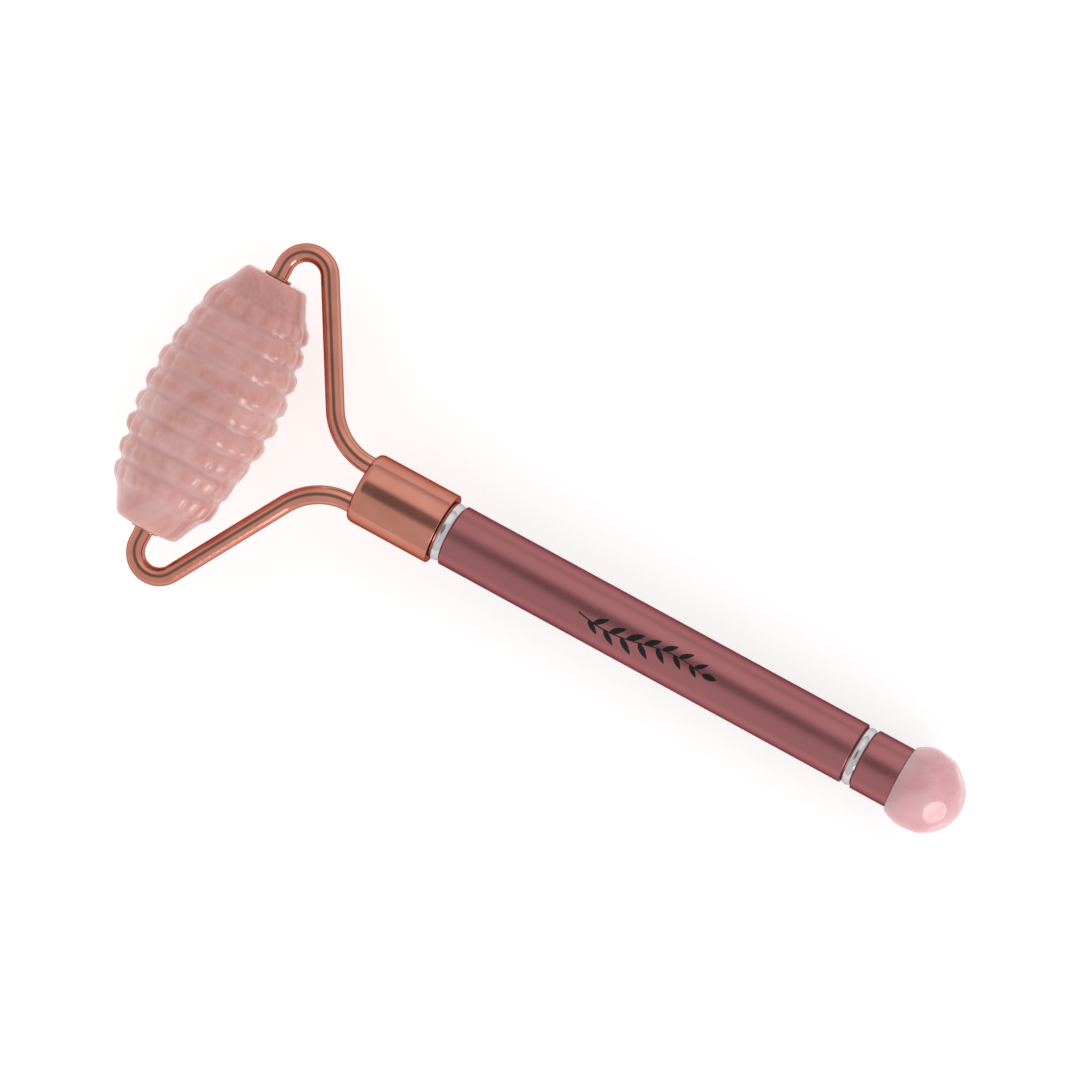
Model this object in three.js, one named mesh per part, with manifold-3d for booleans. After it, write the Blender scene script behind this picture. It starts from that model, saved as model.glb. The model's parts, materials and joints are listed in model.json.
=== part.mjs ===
// A gemstone face roller: a ridged rose quartz barrel that spins in a bent wire fork, on a slim
// metal handle with a polished quartz knob at its far end.
//
// Millimetres. The pieces are laid out along a straight handle first: +X runs from the barrel's
// axle to the knob, +Y along the axle and +Z up, with the origin in the middle of the barrel.
// The handle is then tipped so that barrel and knob both touch the table, and the whole object
// is moved so that the origin lies under the middle of its box.

import * as THREE from "three";
import { mergeVertices } from "three/addons/utils/BufferGeometryUtils.js";
import Module from "manifold-3d";

// Barrel: rows of knobbly ridges along its axle, each row cut into bumps round it.
const BARREL_LENGTH = 44.4;
const BARREL_RADIUS = 11.25;
const BARREL_SWEEP_RADIUS = 57; // of the arc that the crests of the rows follow
const ROWS = 9;
const ROW_PITCH = 3.96;
const BUMPS_ROUND = 18;
const GROOVE_DEPTH = 0.9;
const CONE_START = 18.9; // along the axle, where the last groove has run out into the end cone
const CONE_START_RADIUS = 6.75;
const END_FACE_RADIUS = 5.45;
const END_EDGE = 0.5;
const BORE_RADIUS = 2.1;

// Bushes pressed into the barrel's bore, each with a flange that shows at the barrel's end.
const BUSH_LENGTH = 12;
const BUSH_BORE_RADIUS = 1.62;
const FLANGE_RADIUS = 2.45;
const FLANGE_THICKNESS = 0.6;

// Fork: two arms of round wire, each with a tight bend at the barrel and a wide one at the collar.
const WIRE_RADIUS = 1.5;
const LEG_DEPTH = 11; // how far the wire reaches into the barrel
const TIGHT_BEND_RADIUS = 3.88;
const TIGHT_BEND_HEIGHT = 24.5; // of the bend's centre above the middle of the barrel
const WIDE_BEND_RADIUS = 10.5;
const WIDE_BEND_STANDOFF = 0.75; // of the wide bend's end from the collar's face
const ARM_OFFSET = 3.32; // of each arm from the handle's axis, inside the collar
const ARM_SEAT_DEPTH = 7.6; // how far the wire reaches into the collar

// Handle: lengths along X, from the collar to the knob.
const COLLAR_START = 27.7;
const COLLAR_LENGTH = 14.35;
const COLLAR_RADIUS = 5.9;
const COLLAR_BORE_RADIUS = 5.3;
const COLLAR_END_WALL = 0.8;
const CORE_RECESS = 0.4; // the core's back face lies this far inside the collar's mouth
const RING_RADIUS = 4.9;
const HEAD_RING_LENGTH = 2.2;
const TUBE_LENGTH = 71.85;
const TUBE_RADIUS = 5.05;
const TUBE_BORE_RADIUS = 4.25;
const PLUG_LENGTH = 12;
const TAIL_RING_LENGTH = 1.75;
const SLEEVE_LENGTH = 6.45;
const STUD_RADIUS = 2;
const STUD_HOLE_RADIUS = 2.1;
const HEAD_STUD_LENGTH = 16;
const HEAD_STUD_SPACE = 1.3; // between the wire's ends and the stud, inside the collar's core
const TAIL_STUD_LENGTH = 13;
const SLEEVE_STUD_DEPTH = 2.8;
const KNOB_PIN_RADIUS = 1.5;
const KNOB_PIN_HOLE_RADIUS = 1.6;
const KNOB_PIN_LENGTH = 7.4;
const KNOB_PIN_SEAT = 2.2; // how far the pin reaches into the sleeve's core
const KNOB_RADIUS = 6.8;
const KNOB_CENTRE = 3.8; // of the ball, behind the sleeve's end

const SEAM = 0.05; // hairline gap between two pieces that meet face to face
const SLIP = 0.05; // clearance of a plug in its tube, and of a bush in the barrel's bore
const HOLE_SPARE = 0.3; // how much deeper a blind hole is than what sits in it
const OVERSHOOT = 1; // how far a cut runs past the face that it opens
const EDGE = 0.25; // broken edge on turned pieces
const SIDES = 24;
const WIRE_SIDES = 12;
const WIRE_STEPS = 52;

const wasm = await Module();
wasm.setup();

// ---------------------------------------------------------------- turning and cutting

function solidOf(geometry) {
  const bare = geometry.index ? geometry.toNonIndexed() : geometry.clone();
  bare.deleteAttribute("normal");
  bare.deleteAttribute("uv");
  const merged = mergeVertices(bare, 1e-4);
  const triVerts = new Uint32Array(merged.index.array);
  const vertProperties = merged.attributes.position.array;
  return new wasm.Manifold(new wasm.Mesh({ numProp: 3, vertProperties, triVerts }));
}

function geometryOf(solid) {
  const mesh = solid.getMesh();
  return new THREE.BufferGeometry()
    .setAttribute("position", new THREE.BufferAttribute(mesh.vertProperties, 3))
    .setIndex(new THREE.BufferAttribute(mesh.triVerts, 1));
}

function drilled(body, drills) {
  const cut = drills.reduce((solid, drill) => solid.subtract(solidOf(drill)), solidOf(body));
  return geometryOf(cut);
}

// A piece turned about X. Its outline is a list of [distance along X, radius], which starts and
// ends on the axis, or closes on itself round a bore.
function turned(outline) {
  const points = outline.map(([along, radius]) => new THREE.Vector2(radius, along));
  if (points[0].x > 0) points.push(points[0].clone());
  return new THREE.LatheGeometry(points, SIDES).rotateZ(-Math.PI / 2);
}

function rod(start, length, radius) {
  const end = start + length;
  return turned([
    [start, 0],
    [start, radius - EDGE],
    [start + EDGE, radius],
    [end - EDGE, radius],
    [end, radius - EDGE],
    [end, 0],
  ]);
}

function drill(start, length, radius) {
  return turned([
    [start, 0],
    [start, radius],
    [start + length, radius],
    [start + length, 0],
  ]);
}

function pipe(start, length, radius, bore) {
  const end = start + length;
  return turned([
    [start, bore],
    [start, radius - EDGE],
    [start + EDGE, radius],
    [end - EDGE, radius],
    [end, radius - EDGE],
    [end, bore],
  ]);
}

// ---------------------------------------------------------------- barrel and its bushes

function crestRadius(y) {
  const drop = BARREL_SWEEP_RADIUS - Math.sqrt(BARREL_SWEEP_RADIUS ** 2 - y ** 2);
  return BARREL_RADIUS - drop;
}

// Each row has a groove and the two edges of its crest, at thirds of the pitch, and so has each
// bump round the barrel. Where either is a groove, the surface drops by the groove's depth. The
// last groove runs out into a plain cone, which ends at the flat end. The lathe starts on a groove
// that faces straight up, so its opposite faces straight down, and the barrel rests on the two
// bumps beside that one.
function barrelStone() {
  const half = BARREL_LENGTH / 2;
  const stations = Array.from({ length: 3 * ROWS + 1 }, (_, i) => (i / 3 - ROWS / 2) * ROW_PITCH);
  const skin = stations.map((y, i) => ({ y, radius: crestRadius(y), crest: i % 3 !== 0 }));
  const profile = [
    { y: -half, radius: BORE_RADIUS },
    { y: -half, radius: END_FACE_RADIUS - END_EDGE },
    { y: -half + END_EDGE, radius: END_FACE_RADIUS },
    { y: -CONE_START, radius: CONE_START_RADIUS },
    ...skin,
    { y: CONE_START, radius: CONE_START_RADIUS },
    { y: half - END_EDGE, radius: END_FACE_RADIUS },
    { y: half, radius: END_FACE_RADIUS - END_EDGE },
    { y: half, radius: BORE_RADIUS },
    { y: -half, radius: BORE_RADIUS },
  ];
  const geometry = new THREE.LatheGeometry(
    profile.map(({ y, radius }) => new THREE.Vector2(radius, y)),
    3 * BUMPS_ROUND,
  );
  const position = geometry.attributes.position;
  for (let i = 0; i < position.count; i++) {
    const station = profile[i % profile.length];
    const column = Math.floor(i / profile.length);
    if (station.crest === undefined) continue;
    if (station.crest && column % 3 !== 0) continue;
    const shrink = (station.radius - GROOVE_DEPTH) / station.radius;
    position.setX(i, position.getX(i) * shrink);
    position.setZ(i, position.getZ(i) * shrink);
  }
  return geometry;
}

function barrelBush(side) {
  const face = BARREL_LENGTH / 2;
  const outline = [
    [face - BUSH_LENGTH, BUSH_BORE_RADIUS],
    [face - BUSH_LENGTH, BORE_RADIUS - SLIP],
    [face + SEAM, BORE_RADIUS - SLIP],
    [face + SEAM, FLANGE_RADIUS],
    [face + FLANGE_THICKNESS - EDGE / 2, FLANGE_RADIUS],
    [face + FLANGE_THICKNESS, FLANGE_RADIUS - EDGE / 2],
    [face + FLANGE_THICKNESS, BUSH_BORE_RADIUS],
  ];
  return turned(outline).rotateZ((side * Math.PI) / 2);
}

// ---------------------------------------------------------------- fork arms

class Bend extends THREE.Curve {
  constructor(centre, radius, from, to, side) {
    super();
    Object.assign(this, { centre, radius, from, to, side });
  }

  getPoint(t, target = new THREE.Vector3()) {
    const angle = THREE.MathUtils.lerp(this.from, this.to, t);
    const x = this.centre.x + this.radius * Math.cos(angle);
    const y = this.centre.y + this.radius * Math.sin(angle);
    return target.set(x, this.side * y, 0);
  }
}

// The arm runs out of the barrel, round the tight bend, straight down to the wide bend, which
// turns the other way, and into the collar. The straight run touches both bends, so its heading
// is the heading from one bend's centre to the other, less the angle that the two radii take up.
function armPath(side) {
  const tight = new THREE.Vector2(TIGHT_BEND_RADIUS, TIGHT_BEND_HEIGHT);
  const wideEnd = COLLAR_START - WIDE_BEND_STANDOFF;
  const wide = new THREE.Vector2(wideEnd, ARM_OFFSET + WIDE_BEND_RADIUS);
  const between = wide.clone().sub(tight);
  const spread = Math.asin((TIGHT_BEND_RADIUS + WIDE_BEND_RADIUS) / between.length());
  const heading = Math.atan2(between.y, between.x) - spread;
  const quarter = Math.PI / 2;
  const loop = new Bend(tight, TIGHT_BEND_RADIUS, Math.PI, heading + quarter, side);
  const shoulder = new Bend(wide, WIDE_BEND_RADIUS, heading - quarter, -quarter, side);
  const tip = new THREE.Vector3(0, side * (BARREL_LENGTH / 2 - LEG_DEPTH), 0);
  const root = new THREE.Vector3(COLLAR_START + ARM_SEAT_DEPTH, side * ARM_OFFSET, 0);
  const path = new THREE.CurvePath();
  path.add(new THREE.LineCurve3(tip, loop.getPoint(0)));
  path.add(loop);
  path.add(new THREE.LineCurve3(loop.getPoint(1), shoulder.getPoint(0)));
  path.add(shoulder);
  path.add(new THREE.LineCurve3(shoulder.getPoint(1), root));
  return path;
}

function forkArm(side) {
  const section = new THREE.Shape(
    Array.from({ length: WIRE_SIDES }, (_, i) => {
      const angle = (2 * Math.PI * i) / WIRE_SIDES;
      return new THREE.Vector2(WIRE_RADIUS * Math.cos(angle), WIRE_RADIUS * Math.sin(angle));
    }),
  );
  return new THREE.ExtrudeGeometry(section, { steps: WIRE_STEPS, extrudePath: armPath(side) });
}

function armDrill(start, length, side) {
  return drill(start, length, BUSH_BORE_RADIUS).translate(0, side * ARM_OFFSET, 0);
}

// ---------------------------------------------------------------- collar

const COLLAR_END = COLLAR_START + COLLAR_LENGTH;
const CORE_START = COLLAR_START + COLLAR_END_WALL + SEAM;
const CORE_END = COLLAR_END - CORE_RECESS;
const CORNER_DEPTH = 1.1;
const CORNER_HEIGHT = 0.65;
const CORNER_STEPS = 3;

// A deep cup: its closed end has a softly rounded corner and a hole for each arm of the fork.
function collarShell() {
  const corner = Array.from({ length: CORNER_STEPS + 1 }, (_, i) => {
    const angle = (i / CORNER_STEPS) * (Math.PI / 2);
    return [
      COLLAR_START + CORNER_DEPTH * (1 - Math.sin(angle)),
      COLLAR_RADIUS - CORNER_HEIGHT * (1 - Math.cos(angle)),
    ];
  }).reverse();
  const cup = turned([
    [COLLAR_START, 0],
    ...corner,
    [COLLAR_END - EDGE, COLLAR_RADIUS],
    [COLLAR_END, COLLAR_RADIUS - EDGE],
    [COLLAR_END, COLLAR_BORE_RADIUS],
    [COLLAR_START + COLLAR_END_WALL, COLLAR_BORE_RADIUS],
    [COLLAR_START + COLLAR_END_WALL, 0],
  ]);
  const holeLength = OVERSHOOT + COLLAR_END_WALL + OVERSHOOT;
  const holes = [-1, 1].map((side) => armDrill(COLLAR_START - OVERSHOOT, holeLength, side));
  return drilled(cup, holes);
}

// The slug inside the collar that grips both arms, with a tapped hole in its back for the stud.
function collarCore() {
  const slug = rod(CORE_START, CORE_END - CORE_START, COLLAR_BORE_RADIUS - SLIP);
  const seatDepth = ARM_SEAT_DEPTH + HOLE_SPARE;
  const armSeats = [-1, 1].map((side) => armDrill(COLLAR_START, seatDepth, side));
  const tappingStart = HEAD_STUD_START - HOLE_SPARE;
  const tapping = drill(tappingStart, CORE_END - tappingStart + OVERSHOOT, STUD_HOLE_RADIUS);
  return drilled(slug, [...armSeats, tapping]);
}

// ---------------------------------------------------------------- handle

const HEAD_STUD_START = COLLAR_START + ARM_SEAT_DEPTH + HEAD_STUD_SPACE;
const HEAD_RING_START = CORE_END + SEAM;
const TUBE_START = HEAD_RING_START + HEAD_RING_LENGTH + SEAM;
const TUBE_END = TUBE_START + TUBE_LENGTH;
const TAIL_RING_START = TUBE_END + SEAM;
const SLEEVE_START = TAIL_RING_START + TAIL_RING_LENGTH + SEAM;
const SLEEVE_END = SLEEVE_START + SLEEVE_LENGTH;
const TAIL_STUD_START = SLEEVE_START + SLEEVE_STUD_DEPTH - TAIL_STUD_LENGTH;
const KNOB_PIN_START = SLEEVE_END - KNOB_PIN_SEAT;
const KNOB_START = SLEEVE_END + SEAM;

// A spacer ring with a rounded rim. The stud passes through it.
function spacerRing(start, length) {
  const rimSteps = 4;
  const bulge = 0.35;
  const rim = Array.from({ length: rimSteps + 1 }, (_, i) => {
    const across = (2 * i) / rimSteps - 1;
    return [start + (length * (across + 1)) / 2, RING_RADIUS - bulge * across ** 2];
  });
  return turned([[start, STUD_HOLE_RADIUS], ...rim, [start + length, STUD_HOLE_RADIUS]]);
}

function plug(start) {
  return pipe(start, PLUG_LENGTH, TUBE_BORE_RADIUS - SLIP, STUD_HOLE_RADIUS);
}

// The slug inside the tail sleeve: the stud comes in at its front and the knob's pin at its back.
function sleeveCore() {
  const start = SLEEVE_START + SEAM;
  const end = SLEEVE_END - SEAM;
  return drilled(rod(start, end - start, TUBE_BORE_RADIUS - SLIP), [
    drill(start - OVERSHOOT, OVERSHOOT + SLEEVE_STUD_DEPTH + HOLE_SPARE, STUD_HOLE_RADIUS),
    drill(KNOB_PIN_START - HOLE_SPARE, HOLE_SPARE + KNOB_PIN_SEAT + OVERSHOOT, KNOB_PIN_HOLE_RADIUS),
  ]);
}

// A polished ball cut flat where it meets the sleeve, with a blind hole for its pin.
function knobStone() {
  const centre = SLEEVE_END + KNOB_CENTRE;
  const steps = 12;
  const firstAngle = Math.acos(-(centre - KNOB_START) / KNOB_RADIUS);
  const dome = Array.from({ length: steps }, (_, i) => {
    const angle = firstAngle * (1 - i / steps);
    return [centre + KNOB_RADIUS * Math.cos(angle), KNOB_RADIUS * Math.sin(angle)];
  });
  const ball = turned([[KNOB_START, 0], ...dome, [centre + KNOB_RADIUS, 0]]);
  const pinDepth = KNOB_PIN_LENGTH - KNOB_PIN_SEAT + HOLE_SPARE;
  const pinHole = drill(KNOB_START - OVERSHOOT, OVERSHOOT + pinDepth, KNOB_PIN_HOLE_RADIUS);
  return drilled(ball, [pinHole]);
}

// ---------------------------------------------------------------- finishes

const roseQuartz = new THREE.MeshStandardMaterial({
  color: "#cf9d9c",
  roughness: 0.32,
  metalness: 0,
});
const roseGold = new THREE.MeshStandardMaterial({
  color: "#d08a78",
  roughness: 0.18,
  metalness: 1,
});
const mauveAnodised = new THREE.MeshStandardMaterial({
  color: "#a4646c",
  roughness: 0.32,
  metalness: 1,
});
const chrome = new THREE.MeshStandardMaterial({ color: "#d8d8da", roughness: 0.08, metalness: 1 });
const brass = new THREE.MeshStandardMaterial({ color: "#b99a55", roughness: 0.4, metalness: 1 });
const steel = new THREE.MeshStandardMaterial({ color: "#9a9c9f", roughness: 0.35, metalness: 1 });

// ---------------------------------------------------------------- assembly

function piece(name, geometry, material) {
  const mesh = new THREE.Mesh(geometry, material);
  mesh.name = name;
  return mesh;
}

const roller = new THREE.Group();
roller.add(
  piece("roller_stone", barrelStone(), roseQuartz),
  piece("stone_bush_left", barrelBush(-1), roseGold),
  piece("stone_bush_right", barrelBush(1), roseGold),
);

const handle = new THREE.Group();
handle.add(
  piece("fork_arm_left", forkArm(-1), roseGold),
  piece("fork_arm_right", forkArm(1), roseGold),
  piece("collar_shell", collarShell(), roseGold),
  piece("collar_core", collarCore(), brass),
  piece("head_stud", rod(HEAD_STUD_START, HEAD_STUD_LENGTH, STUD_RADIUS), steel),
  piece("head_ring", spacerRing(HEAD_RING_START, HEAD_RING_LENGTH), chrome),
  piece("handle_tube", pipe(TUBE_START, TUBE_LENGTH, TUBE_RADIUS, TUBE_BORE_RADIUS), mauveAnodised),
  piece("head_plug", plug(TUBE_START + SEAM), brass),
  piece("tail_plug", plug(TUBE_END - SEAM - PLUG_LENGTH), brass),
  piece("tail_stud", rod(TAIL_STUD_START, TAIL_STUD_LENGTH, STUD_RADIUS), steel),
  piece("tail_ring", spacerRing(TAIL_RING_START, TAIL_RING_LENGTH), chrome),
  piece(
    "tail_sleeve",
    pipe(SLEEVE_START, SLEEVE_LENGTH, TUBE_RADIUS, TUBE_BORE_RADIUS),
    mauveAnodised,
  ),
  piece("sleeve_core", sleeveCore(), brass),
  piece("knob_pin", rod(KNOB_PIN_START, KNOB_PIN_LENGTH, KNOB_PIN_RADIUS), steel),
  piece("knob_stone", knobStone(), roseQuartz),
);

// Barrel and knob rest on the table, so the handle tips about the axle by the difference in their
// heights. The barrel stands on the near edges of the two crests beside its lowest groove, each a
// third of a bump's pitch from that groove.
const crestEdgeAngle = (2 * Math.PI) / (3 * BUMPS_ROUND);
const restingRadius = BARREL_RADIUS * Math.cos(crestEdgeAngle);
handle.rotation.y = Math.asin((restingRadius - KNOB_RADIUS) / (SLEEVE_END + KNOB_CENTRE));

const faceRoller = new THREE.Group();
faceRoller.add(roller, handle);
const box = new THREE.Box3().setFromObject(faceRoller, true);
const underMiddle = new THREE.Vector3(
  (box.min.x + box.max.x) / 2,
  (box.min.y + box.max.y) / 2,
  box.min.z,
);
faceRoller.position.copy(underMiddle).negate();

export default faceRoller;
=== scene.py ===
"""A gemstone face roller: a ridged rose quartz barrel in a bent wire fork, on a slim anodised handle
with a rose quartz knob. Pieces are shaped in millimetres, along a straight handle that starts at
the middle of the barrel, and are then put where the frame has them, in metres."""

import json
import math
import random

import bmesh
import bpy
from mathutils import Matrix, Vector, noise


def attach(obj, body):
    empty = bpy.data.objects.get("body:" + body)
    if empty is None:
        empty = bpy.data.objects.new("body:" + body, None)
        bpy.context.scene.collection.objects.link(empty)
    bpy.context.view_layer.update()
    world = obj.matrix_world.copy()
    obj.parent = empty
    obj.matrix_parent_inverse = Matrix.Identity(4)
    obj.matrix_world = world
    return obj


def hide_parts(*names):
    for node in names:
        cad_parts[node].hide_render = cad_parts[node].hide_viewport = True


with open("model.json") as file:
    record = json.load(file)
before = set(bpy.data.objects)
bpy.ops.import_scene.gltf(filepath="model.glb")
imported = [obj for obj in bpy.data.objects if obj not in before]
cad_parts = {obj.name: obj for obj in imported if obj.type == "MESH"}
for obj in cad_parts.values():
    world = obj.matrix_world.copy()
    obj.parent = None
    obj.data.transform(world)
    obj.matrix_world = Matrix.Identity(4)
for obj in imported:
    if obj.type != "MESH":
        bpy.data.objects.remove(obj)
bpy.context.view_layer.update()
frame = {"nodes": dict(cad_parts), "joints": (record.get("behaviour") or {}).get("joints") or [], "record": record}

# ------------------------------------------------------------------------------ barrel
# One piece of rose quartz, ground to a barrel and cut by hand with a wheel: grooves round it and
# grooves along it leave rows of knobbly bumps. The cuts wander, and some bumps are worn low.
# A plain cone at each end runs to a small flat face with the bore in its middle.

MM = 0.001
AXLE = Vector(frame["joints"][0]["pos_m"])
BARREL_PLACE = Matrix.Translation(AXLE) @ Matrix.Scale(MM, 4)

BARREL_LENGTH = 44.4
BARREL_RADIUS = 11.23
BARREL_SWEEP_RADIUS = 57
ROWS = 9
ROW_PITCH = 3.96
BUMPS_ROUND = 18
GROOVE_DEPTH = 1.05
CONE_START = 18.9
CONE_START_RADIUS = 6.75
END_FACE_RADIUS = 5.45
END_EDGE = 0.5
BORE_RADIUS = 2.1
LENGTHWISE_CUT = 0.42  # depth of the grooves along the barrel, against those round it
ROW_STEPS = 16  # mesh steps to a row, and to a bump round the barrel
ROWS_LEAN = 0.5  # how far the rows lie off square to the axle, at the barrel's radius
WORN_PATCHES = (  # middle and spread round, from straight up to the knob; along; and how much
    (101, 26, -9.8, 5.2, 0.85),
    (-79, 26, 11.6, 5.5, 0.6),
    (8, 48, 3, 17, 0.5),
)


def add_node(tree, kind, settings=None, **inputs):
    """Makes a shader node. Each input is a number, a colour or another node's output."""
    node = tree.nodes.new(kind)
    for name, value in (settings or {}).items():
        setattr(node, name, value)
    for label, value in inputs.items():
        socket = node.inputs[label.replace("_", " ")]
        if isinstance(value, bpy.types.NodeSocket):
            tree.links.new(value, socket)
        else:
            socket.default_value = value
    return node


def noise_field(tree, scale, detail=2.0, roughness=0.5, distortion=0.0, stretch=(1, 1, 1)):
    """A noise over the piece's own place in the frame; scale is features to a metre."""
    place = add_node(tree, "ShaderNodeTexCoord").outputs["Object"]
    stretched = add_node(tree, "ShaderNodeMapping", Vector=place, Scale=stretch)
    return add_node(
        tree,
        "ShaderNodeTexNoise",
        Vector=stretched.outputs["Vector"],
        Scale=scale,
        Detail=detail,
        Roughness=roughness,
        Distortion=distortion,
    ).outputs["Fac"]


def colour_ramp(tree, factor, stops):
    """Colours along a ramp: each stop is its place and its (red, green, blue)."""
    ramp = add_node(tree, "ShaderNodeValToRGB", Fac=factor)
    elements = ramp.color_ramp.elements
    while len(elements) < len(stops):
        elements.new(1.0)
    for element, (place, colour) in zip(elements, stops):
        element.position = place
        element.color = (*colour, 1.0)
    return ramp.outputs["Color"]


def spread(tree, factor, low, high):
    """Turns a noise, which stays near a half, into a number from low to high."""
    return add_node(
        tree, "ShaderNodeMapRange", Value=factor, From_Min=0.3, From_Max=0.7, To_Min=low, To_Max=high
    ).outputs["Result"]


def new_material(name, **constants):
    """A material with one Principled shader, whose constants sit on its own sockets."""
    material = bpy.data.materials.new(name)
    material.use_nodes = True
    shader = material.node_tree.nodes["Principled BSDF"]
    for label, value in constants.items():
        shader.inputs[label.replace("_", " ")].default_value = value
    return material, material.node_tree, shader


def rose_quartz(name, deep, body, milk, cloud_scale, milky_and_lit_end=0.0):
    """Cloudy quartz: light goes deep into it, with milky veils near the skin, and it is polished.
    The grooves are painted paler: painted light that lifts the shade falling in them. Its left end, towards the
    low softbox, is painted lighter and milkier: partly milkier stone, partly painted light on the lit side."""
    material, tree, shader = new_material(
        name,
        IOR=1.54,
        Subsurface_Weight=1.0,
        Subsurface_Radius=(1.0, 0.6, 0.5),
        Subsurface_Scale=0.008,
    )
    clouds = noise_field(tree, cloud_scale, detail=5, roughness=0.55, distortion=1.2)
    place = add_node(tree, "ShaderNodeTexCoord").outputs["Object"]
    across = add_node(tree, "ShaderNodeSeparateXYZ", Vector=place).outputs["Y"]
    # Painted light, in part: the colour drifts to milk towards the end nearest the low softbox, so that end is
    # painted lighter as well as milkier.
    drift = add_node(tree, "ShaderNodeMath", {"operation": "MULTIPLY_ADD"})
    tree.links.new(across, drift.inputs[0])
    drift.inputs[1].default_value = -milky_and_lit_end
    tree.links.new(clouds, drift.inputs[2])
    colour = colour_ramp(tree, drift.outputs[0], [(0.28, deep), (0.5, body), (0.72, milk)])
    veils = noise_field(tree, cloud_scale * 2.3, detail=6, roughness=0.7, distortion=2.5)
    veil_strength = colour_ramp(
        tree, veils, [(0.5, (0, 0, 0)), (0.56, (0.25, 0.25, 0.25)), (0.62, (0, 0, 0))]
    )
    # Painted light: where a groove is cut, the colour is lifted towards pale, standing in for the light that the
    # groove's shade takes away.
    cut = add_node(tree, "ShaderNodeAttribute", {"attribute_name": "groove"}).outputs["Fac"]
    groove_painted_light = colour_ramp(tree, cut, [(0.2, (0, 0, 0)), (1.0, (0.24, 0.24, 0.24))])
    pale = tuple(1 - (1 - channel) * 0.6 for channel in milk)
    for strength, tint in ((veil_strength, milk), (groove_painted_light, pale)):
        layer = add_node(tree, "ShaderNodeMix", {"data_type": "RGBA"}, Factor=strength)
        tree.links.new(colour, layer.inputs[6])
        layer.inputs[7].default_value = (*tint, 1.0)
        colour = layer.outputs[2]
    tree.links.new(colour, shader.inputs["Base Color"])
    skin = noise_field(tree, 900, detail=4, roughness=0.6)
    tree.links.new(spread(tree, skin, 0.09, 0.2), shader.inputs["Roughness"])
    bump = add_node(tree, "ShaderNodeBump", Height=skin, Strength=0.08, Distance=0.0001)
    tree.links.new(bump.outputs["Normal"], shader.inputs["Normal"])
    return material


def finished_piece(name, bm, place, material, body, crease=32):
    """Closes up a shape made in millimetres, puts it in the frame and lets it ride on its body."""
    bmesh.ops.remove_doubles(bm, verts=bm.verts, dist=1e-4)
    bmesh.ops.recalc_face_normals(bm, faces=bm.faces)
    bmesh.ops.transform(bm, matrix=place, verts=bm.verts)
    mesh = bpy.data.meshes.new(name)
    bm.to_mesh(mesh)
    bm.free()
    mesh.shade_smooth()
    mesh.set_sharp_from_angle(angle=math.radians(crease))
    mesh.materials.append(material)
    piece = bpy.data.objects.new(name, mesh)
    bpy.context.scene.collection.objects.link(piece)
    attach(piece, body)
    return piece


def outline(bm, points):
    """A chain of edges through points, for a lathe to turn."""
    verts = [bm.verts.new(point) for point in points]
    return verts, [bm.edges.new(pair) for pair in zip(verts, verts[1:])]


def lobe(phase):
    """Height across one bump, from 0 in one groove to 1 on the broad crest to 0 in the next."""
    swell = (1 + math.cos(math.tau * min(0.5, abs(phase)))) / 2
    return 1 - (1 - swell) ** 2.6


def crest_radius(along):
    return BARREL_RADIUS - BARREL_SWEEP_RADIUS + math.sqrt(BARREL_SWEEP_RADIUS**2 - along**2)


def wear(along, round_):
    """How much of a bump's height is left there: a few patches were ground low."""
    left = 1.0
    for side, side_spread, middle, length, amount in WORN_PATCHES:
        beside = math.remainder(round_ - math.radians(side), math.tau) / math.radians(side_spread)
        beyond = (along - middle) / length
        left *= 1 - amount * math.exp(-(beside**2) - beyond**2)
    return left


def cut_bumps(bm):
    """Sinks the grooves into a barrel that was spun smooth. Round is the angle from straight up."""
    dice = random.Random(7)
    bump_height = [[dice.uniform(0.84, 1.0) for _ in range(BUMPS_ROUND)] for _ in range(ROWS)]
    bump_shift = [[dice.uniform(-0.07, 0.07) for _ in range(BUMPS_ROUND)] for _ in range(ROWS)]
    half_rows = ROWS * ROW_PITCH / 2
    groove = bm.verts.layers.float.new("groove")
    for vert in bm.verts:
        along, round_ = vert.co.y, math.atan2(vert.co.x, vert.co.z)
        if abs(along) > half_rows + 1e-6 or vert.co.xz.length < BORE_RADIUS + 1:
            continue
        fade = min(1.0, (half_rows - abs(along)) / ROW_PITCH)
        wander = noise.noise(vert.co * 0.11) * 0.5 * fade
        lean = ROWS_LEAN * math.sin(round_) * fade
        row_place = (along - lean - wander + half_rows) / ROW_PITCH
        row = min(ROWS - 1, max(0, math.floor(row_place)))
        turn_wander = 0.12 * noise.noise(vert.co * 0.13 + Vector((9, 0, 0)))
        column_place = round_ / math.tau * BUMPS_ROUND + turn_wander
        column = math.floor(column_place) % BUMPS_ROUND
        row_phase = row_place - row - 0.5
        column_phase = column_place - math.floor(column_place) - 0.5
        shift = bump_shift[row][column]
        row_phase += shift * (1 - min(1, 4 * row_phase**2))
        column_phase -= shift * (1 - 4 * column_phase**2)
        lengthwise = 1 - LENGTHWISE_CUT * (1 - lobe(column_phase))
        height = lobe(row_phase) * lengthwise * bump_height[row][column]
        vert[groove] = (1 - height) * fade
        height *= wear(along, round_)
        depth = GROOVE_DEPTH * (0.85 + 0.3 * noise.noise(vert.co * 0.16 + Vector((0, 0, 5))))
        radius = crest_radius(along) - min(GROOVE_DEPTH, depth) * (1 - height)
        vert.co.xz = vert.co.xz.normalized() * radius


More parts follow.
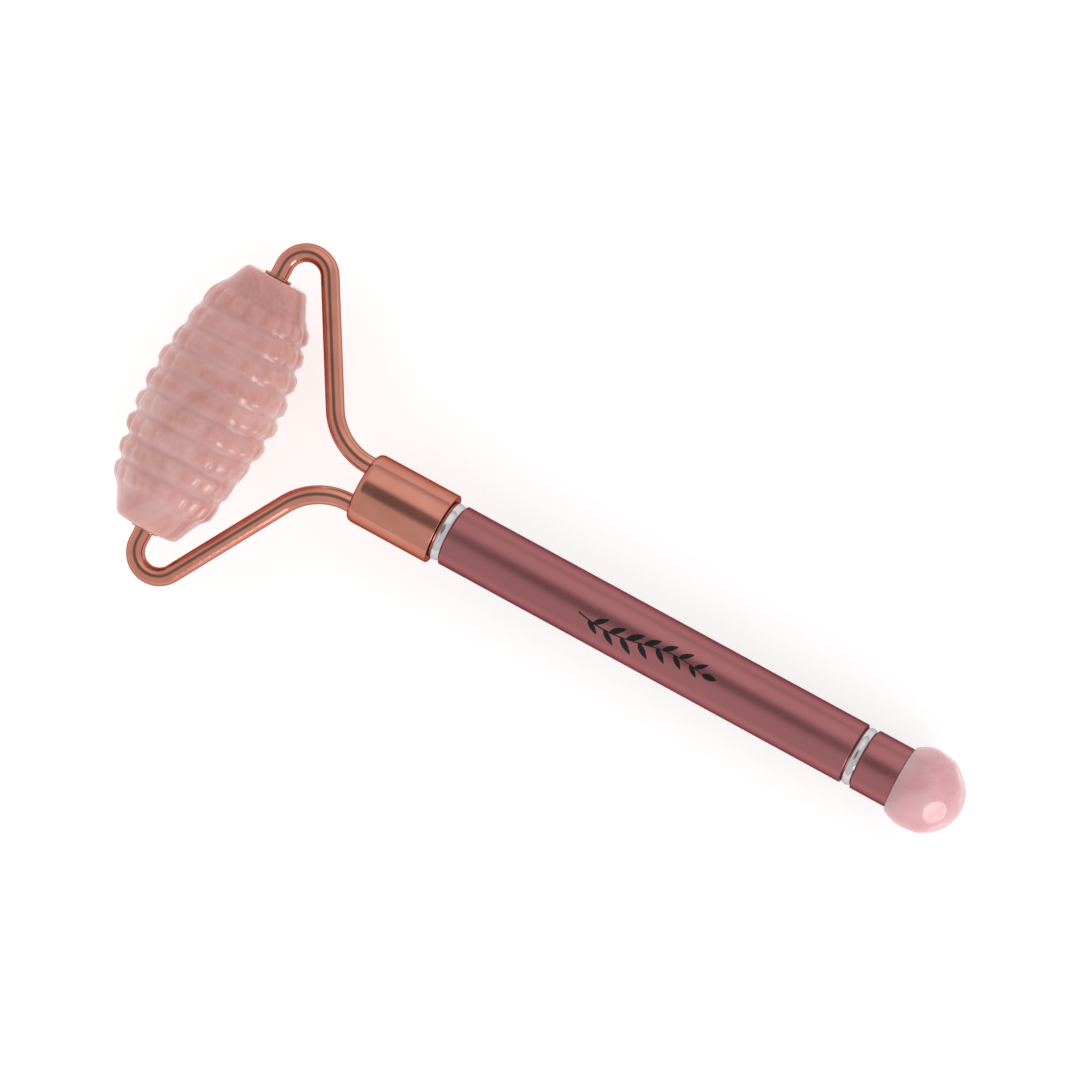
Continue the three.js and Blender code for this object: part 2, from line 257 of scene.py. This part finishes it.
def barrel_shape():
    half, rows_end = BARREL_LENGTH / 2, ROWS * ROW_PITCH / 2
    groove = crest_radius(rows_end) - GROOVE_DEPTH
    bm = bmesh.new()
    one_side = [
        (BORE_RADIUS, half),
        (END_FACE_RADIUS - END_EDGE, half),
        (END_FACE_RADIUS, half - END_EDGE),
        (CONE_START_RADIUS, CONE_START),
        (groove, rows_end),
    ]
    points = one_side + [(radius, -along) for radius, along in reversed(one_side)]
    verts, edges = outline(bm, [(0, along, radius) for radius, along in points])
    edges.append(bm.edges.new((verts[-1], verts[0])))
    rounding = verts[1:4] + verts[6:9]
    bmesh.ops.bevel(
        bm,
        geom=rounding,
        offset=0.35,
        segments=4,
        profile=0.5,
        affect="VERTICES",
        material=-1,
    )
    outside = [edge for edge in bm.edges if edge.verts[0].co.z > BORE_RADIUS + 1]
    rows_edge = max(outside, key=lambda edge: edge.calc_length())
    bmesh.ops.subdivide_edges(bm, edges=[rows_edge], cuts=ROWS * ROW_STEPS - 1)
    bmesh.ops.spin(
        bm,
        geom=bm.verts[:] + bm.edges[:],
        cent=(0, 0, 0),
        axis=(0, 1, 0),
        angle=math.tau,
        steps=BUMPS_ROUND * ROW_STEPS,
        use_merge=True,
    )
    cut_bumps(bm)
    return bm


barrel_quartz = rose_quartz(
    "rose_quartz_barrel",
    deep=(0.565, 0.27, 0.24),
    body=(0.645, 0.35, 0.32),
    milk=(0.72, 0.455, 0.435),
    cloud_scale=70,
    # this end, nearest the low softbox, is painted lighter as well as milkier: partly painted light
    milky_and_lit_end=6.0,
)
barrel = finished_piece(
    "barrel", barrel_shape(), BARREL_PLACE, barrel_quartz, "roller", crease=50
)
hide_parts("roller_stone")

# ------------------------------------------------------------------------------ bushes
# Two plated brass bushes pressed into the ends of the bore. The wire turns in them, and their
# flanges show as a thin rim on the barrel's flat ends.

BUSH_LENGTH = 12
BUSH_RADIUS = 2.05
BUSH_BORE_RADIUS = 1.62
FLANGE_RADIUS = 2.25
FLANGE_THICKNESS = 0.4
SEAM = 0.05
TURNED_STEPS = 96


def rose_gold(name, low_colour, high_colour, lines):
    """Copper-pink plating, polished bright, with faint polishing lines along one direction."""
    material, tree, shader = new_material(
        name, Metallic=1.0, Specular_Tint=(0.42, 0.2, 0.2, 1.0)
    )
    tarnish = noise_field(tree, 160, detail=3, roughness=0.55)
    colour = colour_ramp(tree, tarnish, [(0.3, low_colour), (0.7, high_colour)])
    tree.links.new(colour, shader.inputs["Base Color"])
    polish = noise_field(tree, 2500, detail=3, roughness=0.6, stretch=lines)
    tree.links.new(spread(tree, polish, 0.1, 0.19), shader.inputs["Roughness"])
    bump = add_node(tree, "ShaderNodeBump", Height=polish, Strength=0.05, Distance=0.00005)
    tree.links.new(bump.outputs["Normal"], shader.inputs["Normal"])
    return material


def spin_round(bm, points, axis=(1, 0, 0), steps=TURNED_STEPS):
    """Turns an outline of (along, radius) points round the handle's axis, or round the axle."""
    along_x = axis[0] == 1
    co = [(a, 0, r) if along_x else (0, a, r) for a, r in points]
    verts, edges = outline(bm, co)
    bmesh.ops.spin(
        bm,
        geom=verts + edges,
        cent=(0, 0, 0),
        axis=axis,
        angle=math.tau,
        steps=steps,
        use_merge=True,
    )


def rounded(points, radius, segments=3):
    """Rounds every inner corner of an outline with a small arc, as a turned edge is broken."""
    flat = bmesh.new()
    verts, _ = outline(flat, [(a, r, 0) for a, r in points])
    bmesh.ops.bevel(
        flat,
        geom=verts[1:-1],
        offset=radius,
        segments=segments,
        profile=0.5,
        affect="VERTICES",
        material=-1,
    )
    flat.verts.ensure_lookup_table()
    start = next(v for v in flat.verts if (v.co.xy - Vector(points[0])).length < 1e-6)
    chain, before = [start], None
    while True:
        onward = [e.other_vert(chain[-1]) for e in chain[-1].link_edges]
        onward = [v for v in onward if v is not before]
        if not onward:
            break
        before = chain[-1]
        chain.append(onward[0])
    found = [(v.co.x, v.co.y) for v in chain]
    flat.free()
    return found


wire_gold = rose_gold("rose_gold_wire", (0.55, 0.225, 0.165), (0.63, 0.28, 0.21), lines=(1, 1, 1))

for side, name in ((-1, "left"), (1, "right")):
    face = BARREL_LENGTH / 2
    bush_outline = [
        (face - BUSH_LENGTH, BUSH_BORE_RADIUS),
        (face - BUSH_LENGTH, BUSH_RADIUS),
        (face + SEAM, BUSH_RADIUS),
        (face + SEAM, FLANGE_RADIUS),
        (face + FLANGE_THICKNESS, FLANGE_RADIUS),
        (face + FLANGE_THICKNESS, BUSH_BORE_RADIUS),
    ]
    bm = bmesh.new()
    ends = rounded([(side * a, r) for a, r in bush_outline], 0.08)
    spin_round(bm, ends + ends[:1], axis=(0, 1, 0), steps=48)
    bush = finished_piece(f"bush_{name}", bm, BARREL_PLACE, wire_gold, "roller")
    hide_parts(f"stone_bush_{name}")

# ------------------------------------------------------------------------------ fork arms
# Two lengths of plated 3 mm wire. Each comes out of the barrel, goes round a tight bend, runs
# straight down to a wide bend the other way, and enters the collar beside its twin.

WIRE_RADIUS = 1.49
WIRE_SIDES = 32
LEG_DEPTH = 11
TIGHT_BEND_RADIUS = 3.88
TIGHT_BEND_HEIGHT = 24.5
WIDE_BEND_RADIUS = 10.5
WIDE_BEND_STANDOFF = 0.75
ARM_OFFSET = 3.32
ARM_SEAT_DEPTH = 7.6
COLLAR_START = 27.7

SEAT = frame["record"]["mounts"][0]  # on the collar's head face, square to the handle
HANDLE_DIRECTION = -Vector(SEAT["axis"])
HANDLE_TIP_DOWN = math.atan2(-HANDLE_DIRECTION.z, HANDLE_DIRECTION.x)
HANDLE_PLACE = (
    Matrix.Translation(AXLE) @ Matrix.Rotation(HANDLE_TIP_DOWN, 4, "Y") @ Matrix.Scale(MM, 4)
)


def close_end(bm, ring, outward):
    """Rounds off a wire's end a little and closes it."""
    for inset, forward in ((0.93, 0.12), (0.8, 0.08)):
        grown = bmesh.ops.extrude_edge_only(bm, edges=ring)["geom"]
        verts = [g for g in grown if isinstance(g, bmesh.types.BMVert)]
        middle = sum((v.co for v in verts), Vector()) / len(verts)
        bmesh.ops.scale(bm, vec=(inset,) * 3, verts=verts, space=Matrix.Translation(-middle))
        bmesh.ops.translate(bm, vec=outward * forward, verts=verts)
        ring = [g for g in grown if isinstance(g, bmesh.types.BMEdge) and g.is_boundary]
    bmesh.ops.edgeloop_fill(bm, edges=ring)


def boundary(geometry):
    return [g for g in geometry if isinstance(g, bmesh.types.BMEdge) and g.is_boundary]


def run_straight(bm, ring, by):
    grown = bmesh.ops.extrude_edge_only(bm, edges=ring)["geom"]
    verts = [g for g in grown if isinstance(g, bmesh.types.BMVert)]
    bmesh.ops.translate(bm, vec=by, verts=verts)
    return boundary(grown)


def run_bend(bm, ring, centre, angle, steps):
    verts = list({v for e in ring for v in e.verts})
    turned = bmesh.ops.spin(
        bm,
        geom=verts + ring,
        cent=centre.to_3d(),
        axis=(0, 0, 1),
        angle=angle,
        steps=steps,
    )
    return boundary(turned["geom_last"])


def arm_shape():
    """The arm on the right, +Y, side. The straight run touches both bends, so its heading is the
    heading between their centres less the angle that the two radii take up."""
    tight = Vector((TIGHT_BEND_RADIUS, TIGHT_BEND_HEIGHT))
    wide = Vector((COLLAR_START - WIDE_BEND_STANDOFF, ARM_OFFSET + WIDE_BEND_RADIUS))
    between = wide - tight
    taken_up = math.asin((TIGHT_BEND_RADIUS + WIDE_BEND_RADIUS) / between.length)
    heading = math.atan2(between.y, between.x) - taken_up
    straight = math.sqrt(between.length**2 - (TIGHT_BEND_RADIUS + WIDE_BEND_RADIUS) ** 2)
    tip = Vector((0, BARREL_LENGTH / 2 - LEG_DEPTH, 0))
    bm = bmesh.new()
    facing_y = Matrix.Rotation(math.pi / 2, 4, "X")
    bmesh.ops.create_circle(
        bm, radius=WIRE_RADIUS, segments=WIRE_SIDES, matrix=Matrix.Translation(tip) @ facing_y
    )
    start = bm.edges[:]
    ring = run_straight(bm, start, Vector((0, TIGHT_BEND_HEIGHT - tip.y, 0)))
    quarter = math.pi / 2
    ring = run_bend(bm, ring, tight, heading + quarter - math.pi, 40)
    ring = run_straight(bm, ring, Vector((math.cos(heading), math.sin(heading), 0)) * straight)
    ring = run_bend(bm, ring, wide, -heading, 32)
    ring = run_straight(bm, ring, Vector((WIDE_BEND_STANDOFF + ARM_SEAT_DEPTH - 0.2, 0, 0)))
    close_end(bm, ring, Vector((1, 0, 0)))
    close_end(bm, start, Vector((0, -1, 0)))
    return bm


for side, name in ((-1, "left"), (1, "right")):
    bm = arm_shape()
    bmesh.ops.scale(bm, vec=(1, side, 1), verts=bm.verts)
    arm = finished_piece(f"arm_{name}", bm, HANDLE_PLACE, wire_gold, "handle")
    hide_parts(f"fork_arm_{name}")

# ------------------------------------------------------------------------------ collar
# A drawn cup, plated and polished. Its closed end has a soft corner and two holes for the arms,
# and its open end has a fine turned rim. Inside it, a brass slug grips the arms.

COLLAR_LENGTH = 14.35
COLLAR_RADIUS = 5.9
COLLAR_BORE_RADIUS = 5.3
COLLAR_END_WALL = 0.8
CORNER_DEPTH = 1.1
CORNER_HEIGHT = 0.65
ARM_HOLE_RADIUS = 1.62
LIP_RADIUS = 4.79  # the mouth is rolled in over the core, close round the chrome ring
LIP_LENGTH = 0.33


def ring_facing_x(bm, at, radius, across, segments):
    place = Matrix.Translation((at, across, 0)) @ Matrix.Rotation(math.pi / 2, 4, "Y")
    made = bmesh.ops.create_circle(bm, radius=radius, segments=segments, matrix=place)
    return list({e for v in made["verts"] for e in v.link_edges})


def collar_shape():
    end = COLLAR_START + COLLAR_LENGTH
    inner = COLLAR_START + COLLAR_END_WALL
    corner = [
        (
            COLLAR_START + CORNER_DEPTH * (1 - math.sin(step / 8 * math.pi / 2)),
            COLLAR_RADIUS - CORNER_HEIGHT * (1 - math.cos(step / 8 * math.pi / 2)),
        )
        for step in range(8, -1, -1)
    ]
    mouth = [
        corner[-1],
        (end, COLLAR_RADIUS),
        (end, LIP_RADIUS),
        (end - LIP_LENGTH, LIP_RADIUS),
        (end - LIP_LENGTH, COLLAR_BORE_RADIUS),
        (inner, COLLAR_BORE_RADIUS),
    ]
    bm = bmesh.new()
    spin_round(bm, corner[:-1] + rounded(mouth, 0.13, 4))
    for at in (COLLAR_START, inner):
        loop = [e for e in bm.edges if e.is_boundary and all(abs(v.co.x - at) < 1e-4 for v in e.verts)]
        holes = []
        for side in (-1, 1):
            holes += ring_facing_x(bm, at, ARM_HOLE_RADIUS, side * ARM_OFFSET, 32)
        bmesh.ops.triangle_fill(bm, use_beauty=True, edges=loop + holes)
    for side in (-1, 1):
        hole = Vector((side * ARM_OFFSET, 0))
        edges = [
            e
            for e in bm.edges
            if e.is_boundary and all((v.co.yz - hole).length < ARM_HOLE_RADIUS + 0.1 for v in e.verts)
        ]
        bmesh.ops.bridge_loops(bm, edges=edges)
    return bm


collar_gold = rose_gold("rose_gold_collar", (0.52, 0.205, 0.15), (0.58, 0.24, 0.18), lines=(0.06, 1, 1))
collar = finished_piece("collar", collar_shape(), HANDLE_PLACE, collar_gold, "handle")
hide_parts("collar_shell")

# ------------------------------------------------------------------------------ metal inside
# Brass slugs and plugs and steel studs, which hold the handle together out of sight. They keep
# their turned shapes, with a plain machined finish.


def machined(name, low_colour, high_colour):
    material, tree, shader = new_material(name, Metallic=1.0)
    turning = noise_field(tree, 1800, detail=3, roughness=0.6, stretch=(6, 1, 1))
    colour = colour_ramp(tree, turning, [(0.3, low_colour), (0.7, high_colour)])
    tree.links.new(colour, shader.inputs["Base Color"])
    tree.links.new(spread(tree, turning, 0.3, 0.45), shader.inputs["Roughness"])
    bump = add_node(tree, "ShaderNodeBump", Height=turning, Strength=0.1, Distance=0.00005)
    tree.links.new(bump.outputs["Normal"], shader.inputs["Normal"])
    return material


turned_brass = machined("turned_brass", (0.44, 0.3, 0.1), (0.52, 0.37, 0.14))
turned_steel = machined("turned_steel", (0.3, 0.31, 0.32), (0.4, 0.41, 0.42))
for node in ("collar_core", "head_plug", "tail_plug", "sleeve_core"):
    frame["nodes"][node].data.materials.clear()
    frame["nodes"][node].data.materials.append(turned_brass)
for node in ("head_stud", "tail_stud", "knob_pin"):
    frame["nodes"][node].data.materials.clear()
    frame["nodes"][node].data.materials.append(turned_steel)

# ------------------------------------------------------------------------------ chrome rings
# Two spacer rings, turned with a rounded rim and plated bright: a wide one behind the collar and
# a thin one before the tail sleeve.

CORE_END = COLLAR_START + COLLAR_LENGTH - 0.4
RING_RADIUS = 4.9
RING_BULGE = 0.35
STUD_HOLE_RADIUS = 2.1
HEAD_RING_START = CORE_END + SEAM
HEAD_RING_LENGTH = 2.2
TUBE_START = HEAD_RING_START + HEAD_RING_LENGTH + SEAM
TUBE_LENGTH = 71.85
TAIL_RING_START = TUBE_START + TUBE_LENGTH + SEAM
TAIL_RING_LENGTH = 1.75


def bright_chrome():
    material, tree, shader = new_material(
        "bright_chrome", Metallic=1.0, Specular_Tint=(0.7, 0.68, 0.7, 1.0)
    )
    haze = noise_field(tree, 700, detail=3)
    colour = colour_ramp(tree, haze, [(0.3, (0.55, 0.53, 0.54)), (0.7, (0.66, 0.64, 0.65))])
    tree.links.new(colour, shader.inputs["Base Color"])
    tree.links.new(spread(tree, haze, 0.04, 0.1), shader.inputs["Roughness"])
    return material


def ring_shape(start, length):
    steps = 12
    rim = []
    for step in range(steps + 1):
        across = 2 * step / steps - 1
        rim.append((start + length * (across + 1) / 2, RING_RADIUS - RING_BULGE * across**2))
    bm = bmesh.new()
    inner_start, inner_end = (start, STUD_HOLE_RADIUS), (start + length, STUD_HOLE_RADIUS)
    spin_round(bm, [inner_start, *rim, inner_end, inner_start])
    return bm


chrome = bright_chrome()
for name, start, length in (
    ("head", HEAD_RING_START, HEAD_RING_LENGTH),
    ("tail", TAIL_RING_START, TAIL_RING_LENGTH),
):
    ring = finished_piece(
        f"chrome_ring_{name}", ring_shape(start, length), HANDLE_PLACE, chrome, "handle"
    )
    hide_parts(f"{name}_ring")

# ------------------------------------------------------------------------------ handle tube
# Drawn aluminium tube, bead-blasted fine and anodised mauve, with broken edges. The tail sleeve
# is a short length of the same tube.

TUBE_RADIUS = 5.05
TUBE_BORE_RADIUS = 4.25
SLEEVE_START = TAIL_RING_START + TAIL_RING_LENGTH + SEAM
SLEEVE_LENGTH = 6.45


def mauve_anodised():
    material, tree, shader = new_material(
        "mauve_anodised", Metallic=1.0, Specular_Tint=(0.3, 0.24, 0.28, 1.0)
    )
    dye = noise_field(tree, 45, detail=2, stretch=(0.35, 1, 1))
    colour = colour_ramp(tree, dye, [(0.3, (0.345, 0.126, 0.132)), (0.7, (0.4, 0.152, 0.158))])
    tree.links.new(colour, shader.inputs["Base Color"])
    grain = noise_field(tree, 5200, detail=2, roughness=0.5)
    tree.links.new(spread(tree, grain, 0.27, 0.36), shader.inputs["Roughness"])
    bump = add_node(tree, "ShaderNodeBump", Height=grain, Strength=0.22, Distance=0.00004)
    tree.links.new(bump.outputs["Normal"], shader.inputs["Normal"])
    return material


mauve = mauve_anodised()
for name, start, length, node in (
    ("tube", TUBE_START, TUBE_LENGTH, "handle_tube"),
    ("sleeve", SLEEVE_START, SLEEVE_LENGTH, "tail_sleeve"),
):
    end = start + length
    wall = rounded(
        [
            (start, (TUBE_RADIUS + TUBE_BORE_RADIUS) / 2),
            (start, TUBE_RADIUS),
            (end, TUBE_RADIUS),
            (end, TUBE_BORE_RADIUS),
            (start, TUBE_BORE_RADIUS),
            (start, (TUBE_RADIUS + TUBE_BORE_RADIUS) / 2),
        ],
        0.2,
        4,
    )
    bm = bmesh.new()
    spin_round(bm, wall)
    piece = finished_piece(name, bm, HANDLE_PLACE, mauve, "handle")
    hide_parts(node)

# ------------------------------------------------------------------------------ printed sprig
# A plain leafy sprig, pad-printed in black ink on the tube. The ink is a thin film that follows
# the tube's curve, half sunk in its skin so that no gap shows.

SPRIG_CENTRE = 78.9
SPRIG_LENGTH = 22
SPRIG_TURN = math.radians(-7)  # round the tube from straight up, to the right
INK_THICKNESS = 0.04
STEM_WIDTH = 0.24
LEAF_PAIRS = 7
LEAF_LENGTH = 3.1
LEAF_WIDTH = 1.0
LEAF_ANGLE = math.radians(38)


def stem_height(along):
    """The stem's gentle double curve across the tube."""
    return 0.9 * math.sin(along / SPRIG_LENGTH * math.tau * 0.9)


def ink_patch(bm, length, half_width, steps, turn=0.0, start=(0, 0)):
    """A flat patch of ink from start, whose half width is given for each place from 0 to 1."""
    made = bmesh.ops.create_grid(bm, x_segments=steps, y_segments=4, size=1)["verts"]
    rotation = Matrix.Rotation(turn, 2)
    for vert in made:
        place = (vert.co.x + 1) / 2
        flat = rotation @ Vector((place * length, vert.co.y * half_width(place)))
        vert.co = Vector((start[0] + flat.x, start[1] + flat.y, 0))
    return made


def leaf_half_width(place):
    return LEAF_WIDTH / 2 * (4 * place * (1 - place)) ** 0.8 * (1.25 - 0.5 * place)


def sprig_shape():
    bm = bmesh.new()
    start = -SPRIG_LENGTH / 2
    stem = ink_patch(bm, SPRIG_LENGTH, lambda place: STEM_WIDTH / 2 * (1 - 0.5 * place), 60, 0, (start, 0))
    for vert in stem:
        vert.co.y += stem_height(vert.co.x)
    for pair in range(LEAF_PAIRS):
        along = start + SPRIG_LENGTH * (pair + 0.8) / (LEAF_PAIRS + 0.6)
        size = 1 - 0.45 * abs(pair - 2) / LEAF_PAIRS
        for side in (-1, 1):
            foot = along + 0.45 * side
            ink_patch(
                bm,
                LEAF_LENGTH * size,
                lambda place, size=size: leaf_half_width(place) * size,
                14,
                side * LEAF_ANGLE,
                (foot, stem_height(foot)),
            )
    end = SPRIG_LENGTH / 2
    ink_patch(bm, LEAF_LENGTH * 0.8, leaf_half_width, 14, 0.1, (end - 0.3, stem_height(end)))
    bmesh.ops.remove_doubles(bm, verts=bm.verts, dist=1e-5)
    bmesh.ops.dissolve_degenerate(bm, edges=bm.edges, dist=1e-5)
    skin = TUBE_RADIUS + INK_THICKNESS / 2
    for vert in bm.verts:
        turn = vert.co.y / TUBE_RADIUS + SPRIG_TURN
        vert.co = Vector((SPRIG_CENTRE + vert.co.x, skin * math.sin(turn), skin * math.cos(turn)))
    bmesh.ops.recalc_face_normals(bm, faces=bm.faces)
    bmesh.ops.solidify(bm, geom=bm.faces[:], thickness=INK_THICKNESS)
    return bm


def black_ink():
    material, tree, shader = new_material(
        "black_ink", Base_Color=(0.008, 0.006, 0.007, 1.0), Specular_IOR_Level=0.25
    )
    film = noise_field(tree, 3000, detail=2)
    tree.links.new(spread(tree, film, 0.35, 0.5), shader.inputs["Roughness"])
    return material


sprig = finished_piece(
    "printed_sprig", sprig_shape(), HANDLE_PLACE, black_ink(), "handle"
)

# ------------------------------------------------------------------------------ knob
# A ball of rose quartz, ground by hand on a flat wheel, so its skin is a patchwork of faint flats.
# Its base is cut flat where it sits on the sleeve, with a blind hole for the pin.

SLEEVE_END = SLEEVE_START + SLEEVE_LENGTH
KNOB_START = SLEEVE_END + SEAM
KNOB_CENTRE = SLEEVE_END + 3.8  # the base is cut 3.75 mm behind the middle of the ball
KNOB_RADIUS = 6.79
PIN_HOLE_RADIUS = 1.6
PIN_HOLE_DEPTH = 5.5
KNOB_OFF_CENTRE = 0.12  # of the ground ball, to the right of the handle's axis
BROAD_FLATS = (  # angle from the tip, angle round from straight up to the right, and reach
    (78, 88, 6.5),
    (46, 88, 6.22),
    (17, 70, 6.4),
    (58, 30, 6.45),
    (84, -92, 6.5),
    (40, -75, 6.48),
    (54, -22, 6.47),
)
SMALL_FLATS = 13


def flat_facing(from_tip, round_):
    across = math.sin(from_tip)
    return Vector((math.cos(from_tip), across * math.sin(round_), across * math.cos(round_)))


def knob_flats():
    """Which way each flat of the knob faces, and how far it lies from the middle of the ball."""
    flats = [
        (flat_facing(math.radians(from_tip), math.radians(round_)), reach)
        for from_tip, round_, reach in BROAD_FLATS
    ]
    dice = random.Random(11)
    golden_angle = math.pi * (3 - math.sqrt(5))
    for i in range(SMALL_FLATS):
        from_tip = math.acos(1 - 2 * (i + 0.5) / SMALL_FLATS)
        round_ = i * golden_angle + dice.uniform(-0.2, 0.2)
        flats.append((flat_facing(from_tip, round_), KNOB_RADIUS - dice.uniform(0.06, 0.2)))
    return flats


def knob_shape():
    base_angle = math.acos((KNOB_START - KNOB_CENTRE) / KNOB_RADIUS)
    steps = 40
    ball = [
        (
            KNOB_CENTRE + KNOB_RADIUS * math.cos(base_angle * (1 - i / steps)),
            KNOB_RADIUS * math.sin(base_angle * (1 - i / steps)),
        )
        for i in range(steps + 1)
    ]
    hole_floor = KNOB_START + PIN_HOLE_DEPTH
    hole = [(hole_floor, 0), (hole_floor, PIN_HOLE_RADIUS), (KNOB_START, PIN_HOLE_RADIUS)]
    bm = bmesh.new()
    spin_round(bm, hole + ball)
    middle = Vector((KNOB_CENTRE, 0, 0))
    flats = knob_flats()
    for vert in bm.verts:
        on_base = vert.co.x < KNOB_START + 1e-3
        in_hole = vert.co.x < hole_floor + 0.1 and vert.co.yz.length < PIN_HOLE_RADIUS + 0.01
        if on_base or in_hole:
            continue
        for facing_way, reach in flats:
            over = (vert.co - middle).dot(facing_way) - reach
            if over > 0:
                vert.co -= facing_way * over * 0.9
        ease = min(1.0, (vert.co.x - KNOB_START) / 1.5)
        vert.co.y += KNOB_OFF_CENTRE * ease
    return bm


knob_quartz = rose_quartz(
    "rose_quartz_knob",
    deep=(0.61, 0.32, 0.345),
    body=(0.67, 0.38, 0.41),
    milk=(0.73, 0.475, 0.505),
    cloud_scale=110,
)
knob = finished_piece("knob", knob_shape(), HANDLE_PLACE, knob_quartz, "handle")
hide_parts("knob_stone")

# ------------------------------------------------------------------------------ studio
# A plain pale floor in a soft white light tent with a dark opening overhead, where the camera
# looks in, a grey skirt along one side, and one softbox standing low beyond the knob.

FLOOR_SIZE = 6.0
bpy.ops.mesh.primitive_plane_add(size=FLOOR_SIZE, location=(0, 0, 0))
floor = bpy.context.object
floor.name = "floor"
floor_paint, _, _ = new_material(
    "floor_paint",
    Base_Color=(0.62, 0.62, 0.62, 1.0),
    Roughness=0.9,
    Emission_Color=(1, 1, 1, 1),
    Emission_Strength=0.57,
)
floor.data.materials.append(floor_paint)

world = bpy.data.worlds.new("light_tent")
bpy.context.scene.world = world
world.use_nodes = True
tent = world.node_tree


def facing(direction):
    """How nearly a direction of the sky faces the given one: the cosine of the angle between."""
    sky = add_node(tent, "ShaderNodeTexCoord").outputs["Generated"]
    compared = add_node(tent, "ShaderNodeVectorMath", {"operation": "DOT_PRODUCT"})
    tent.links.new(sky, compared.inputs[0])
    compared.inputs[1].default_value = Vector(direction).normalized()
    return compared.outputs["Value"]


grey_stops = [(0.0, 0.82), (0.5, 0.78), (0.84, 0.82), (0.97, 1.12)]
walls = colour_ramp(tent, facing((0, 0.77, 0.64)), [(at, (g, g, g)) for at, g in grey_stops])
opening_stops = [(0.0, 1.0), (0.91, 1.0), (0.972, 0.36), (1.0, 0.32)]
roof = colour_ramp(tent, facing((-0.1, 0.06, 1)), [(at, (g, g, g)) for at, g in opening_stops])
skirt_stops = [(0.0, 1.0), (0.8, 1.0), (0.97, 0.78), (1.0, 0.75)]
skirt = colour_ramp(tent, facing((0, 1, -0.25)), [(at, (g, g, g)) for at, g in skirt_stops])
glow = walls
for shade in (roof, skirt):
    layer = add_node(tent, "ShaderNodeVectorMath", {"operation": "MULTIPLY"})
    tent.links.new(glow, layer.inputs[0])
    tent.links.new(shade, layer.inputs[1])
    glow = layer.outputs["Vector"]
tent.links.new(glow, tent.nodes["Background"].inputs["Color"])
tent.nodes["Background"].inputs["Strength"].default_value = 1.0


def softbox(name, place, aim, size, power):
    light = bpy.data.lights.new(name, "AREA")
    light.shape = "RECTANGLE"
    light.size, light.size_y = size
    light.energy = power
    lamp = bpy.data.objects.new(name, light)
    turn = (Vector(aim) - Vector(place)).to_track_quat("-Z", "Y")
    lamp.matrix_world = Matrix.Translation(place) @ turn.to_matrix().to_4x4()
    lamp.visible_camera = False
    bpy.context.scene.collection.objects.link(lamp)


softbox("low_softbox", (0.62, -0.345, 0.155), (0.0, 0.0, 0.01), (0.32, 0.32), 1.4)

# ------------------------------------------------------------------------------ camera
# Nearly overhead, leaning a little towards the knob, and turned so that the handle runs down
# to the right. A long lens from well back keeps the handle's sides parallel.

CAMERA_LEAN = math.radians(11)
CAMERA_SIDE_LEAN = math.radians(2.7)
CAMERA_ROLL = math.radians(28.63)
CAMERA_DISTANCE = 1.406
CAMERA_LENS = 300
aim_along, aim_across = 56.4 * MM, 5.8 * MM
aim = AXLE + HANDLE_DIRECTION * aim_along + Vector((0, aim_across, 0))
camera_data = bpy.data.cameras.new("camera")
camera_data.lens = CAMERA_LENS
camera_data.sensor_width = 36
camera = bpy.data.objects.new("camera", camera_data)
camera.matrix_world = (
    Matrix.Translation(aim)
    @ Matrix.Rotation(-CAMERA_SIDE_LEAN, 4, "X")
    @ Matrix.Rotation(CAMERA_LEAN, 4, "Y")
    @ Matrix.Rotation(CAMERA_ROLL, 4, "Z")
    @ Matrix.Translation((0, 0, CAMERA_DISTANCE))
)
bpy.context.scene.collection.objects.link(camera)
bpy.context.scene.camera = camera
bpy.context.scene.view_settings.view_transform = "Standard"
